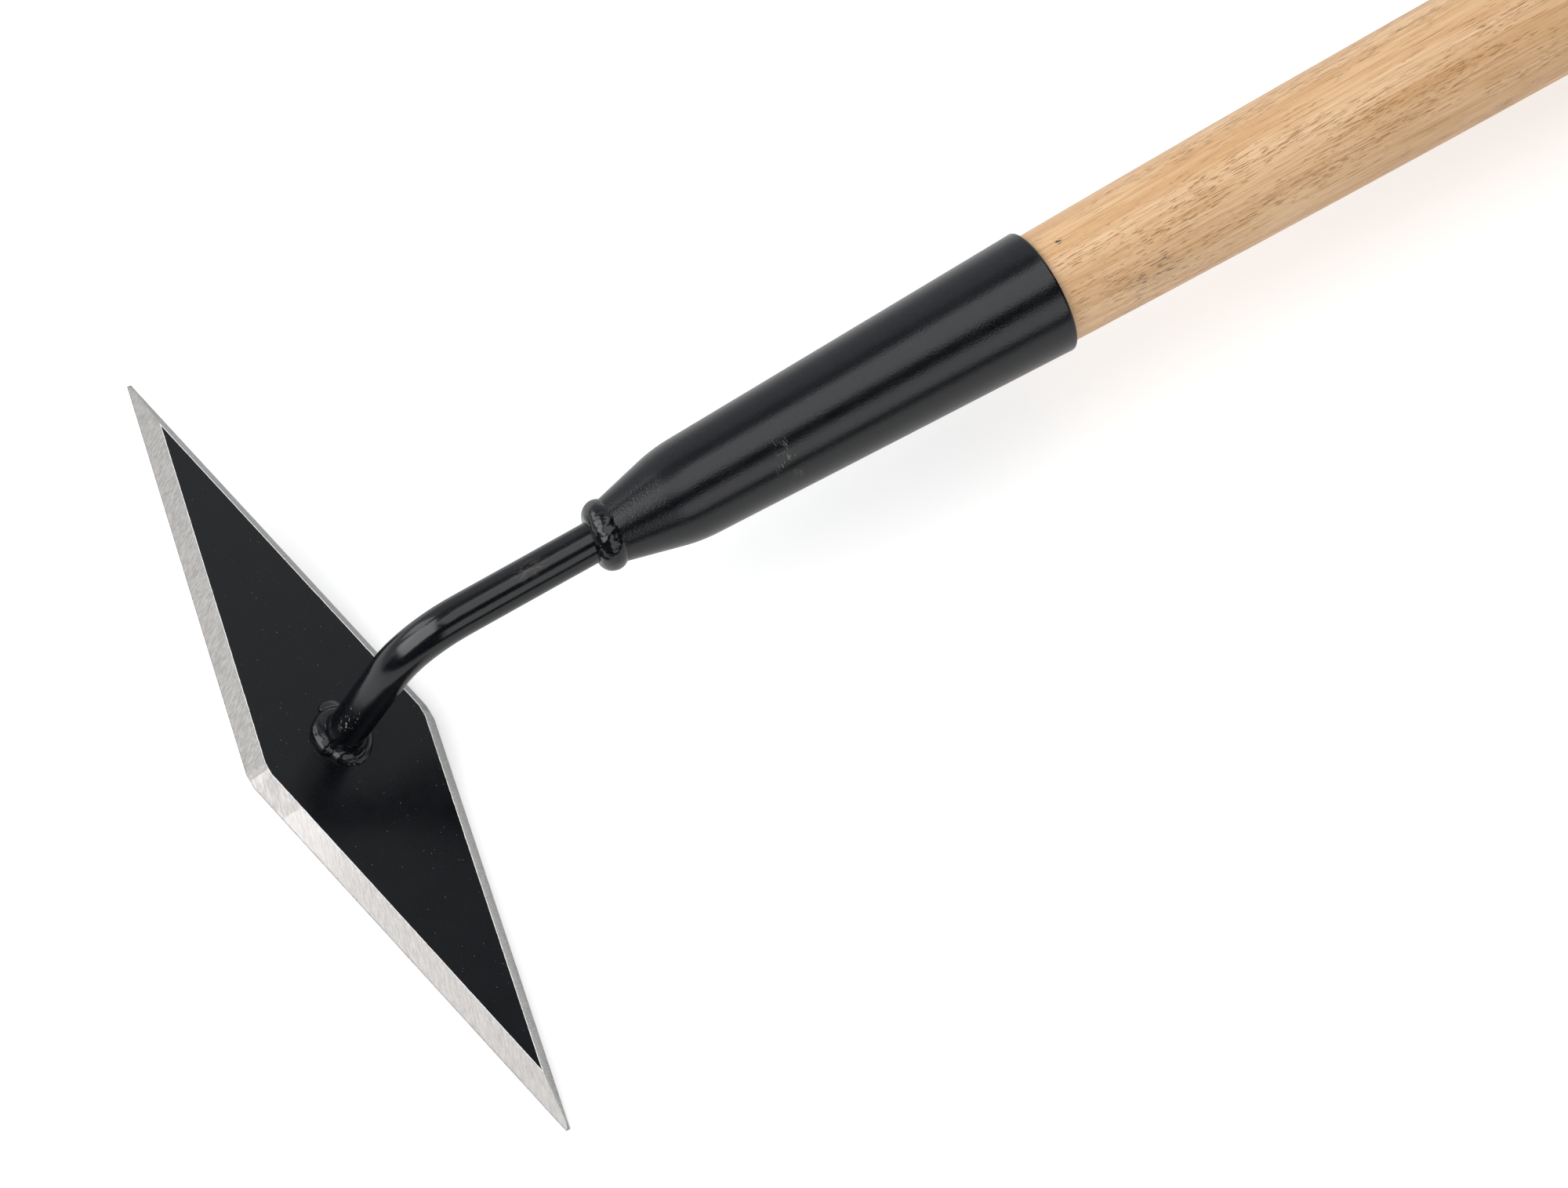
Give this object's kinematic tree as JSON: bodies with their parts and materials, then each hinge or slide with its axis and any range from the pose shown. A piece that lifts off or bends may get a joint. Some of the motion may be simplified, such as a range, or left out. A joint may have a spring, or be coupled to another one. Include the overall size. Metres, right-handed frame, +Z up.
{
  "type": "draw hoe",
  "caption": "Long-handled hoe: a flat diamond blade ground to an edge on every side, welded to a bent round neck, with a tapered socket on a wooden handle.",
  "frame": {"origin": "middle of the underside of the tool's box, on the floor that the tool lies on", "axes": "+X along the handle from the blade to its free end, +Z up from the floor, +Y across the handle"},
  "size_m": [1.5202, 0.2476, 0.0723],
  "materials": {
    "blade_paint": "satin black paint on the faces, bare steel ground to a fine slanting grain on the bevels",
    "neck_paint": "semi-gloss black paint with small chips",
    "weld_paint": "glossy black paint over a rippled weld bead",
    "socket_coat": "satin black powder coat with a light orange peel",
    "handle_wood": "clear satin varnish over pale hardwood with short brown pores",
    "screw_steel": "zinc plated"
  },
  "bodies": {
    "root": {"blade": "blade_paint", "neck_rod": "neck_paint", "blade_weld": "weld_paint", "socket_weld": "weld_paint", "socket": "socket_coat", "handle": "handle_wood", "socket_screw": "screw_steel"}
  },
  "joints": []
}
